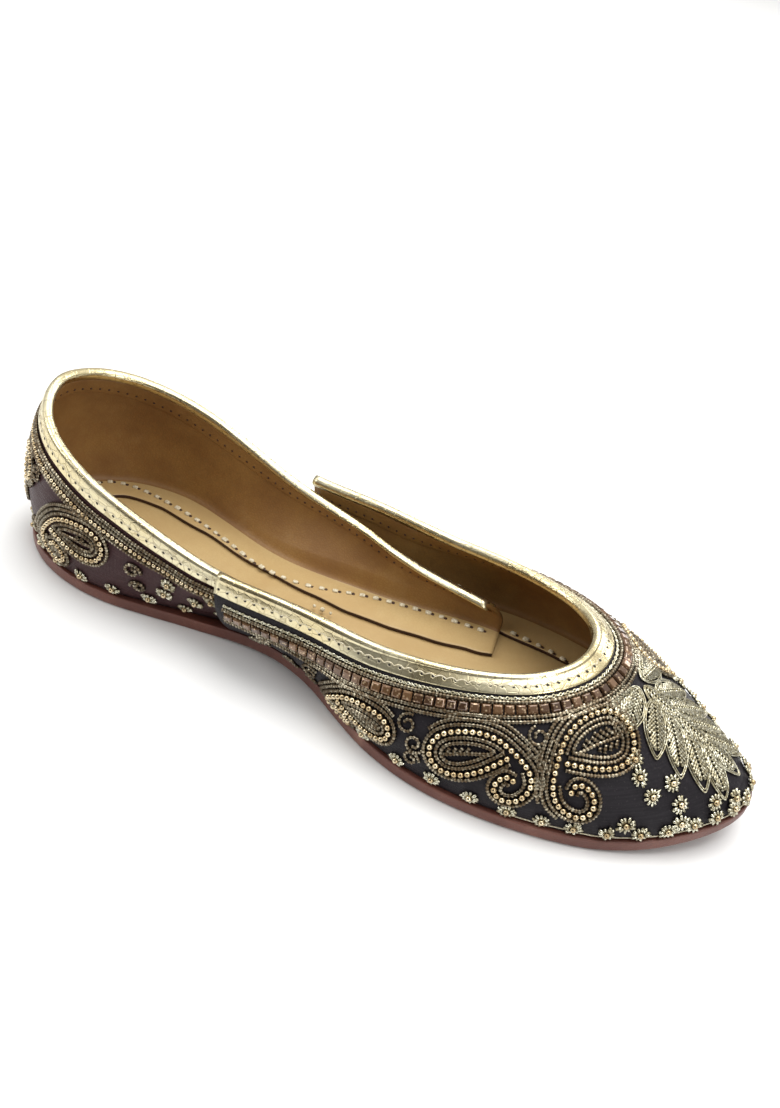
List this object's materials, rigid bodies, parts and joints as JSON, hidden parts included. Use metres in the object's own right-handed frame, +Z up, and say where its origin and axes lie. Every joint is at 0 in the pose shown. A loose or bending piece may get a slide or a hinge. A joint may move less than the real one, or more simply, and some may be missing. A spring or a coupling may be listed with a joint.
{
  "type": "mojari shoe",
  "caption": "Flat slip-on mojari shoe with a pointed round toe, low curved vamp, separate heel quarter, bound top edges and a thin leather sole, hollow for the foot.",
  "frame": {"origin": "centre of the shoe's bounding box at floor level, under the sole", "axes": "+X from the heel to the toe, +Y to the shoe's left side, +Z up from the floor"},
  "size_m": [0.2535, 0.0866, 0.0566],
  "materials": {
    "sole_leather": "burnished red-brown sole leather",
    "lining_leather": "plain tan lining leather",
    "vamp_satin": "dark charcoal-brown satin over leather",
    "quarter_satin": "plum-brown satin over leather",
    "binding_leather": "pale gold metallic foil on thin leather",
    "bead_gilt": "small antique gilt beads",
    "coil_wire": "crimped coiled wire, antique silver-gold",
    "cut_stone": "square foil-backed topaz glass stones",
    "stitch_thread": "waxed pale thread"
  },
  "bodies": {
    "root": {"outsole": "sole_leather", "insole": "lining_leather", "vamp": "vamp_satin", "quarter": "quarter_satin", "vamp_binding": "binding_leather", "quarter_binding": "binding_leather"}
  },
  "joints": []
}
